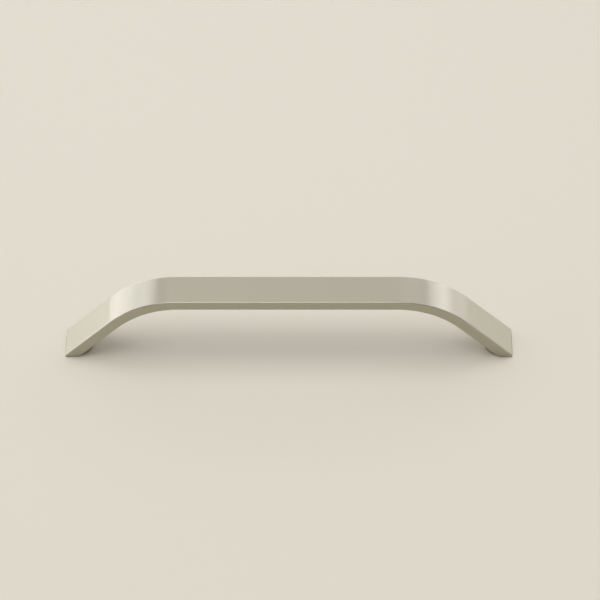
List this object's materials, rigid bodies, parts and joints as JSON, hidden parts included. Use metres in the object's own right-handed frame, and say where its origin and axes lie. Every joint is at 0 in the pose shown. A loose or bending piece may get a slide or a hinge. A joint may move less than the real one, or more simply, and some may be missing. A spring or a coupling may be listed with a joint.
{
  "type": "bridge pull handle",
  "caption": "One-piece flat-bar bridge handle with wide bends, slanted legs and blind threaded holes in the feet, satin nickel.",
  "frame": {"origin": "middle of the mounting plane, halfway between the two screw axes", "axes": "+X along the handle, +Z out of the door towards the grip, +Y across the bar"},
  "size_m": [0.173, 0.0144, 0.0295],
  "materials": {
    "satin_nickel": "satin brushed nickel plate over cast zinc"
  },
  "bodies": {
    "root": {"bridge_handle": "satin_nickel"}
  },
  "joints": []
}
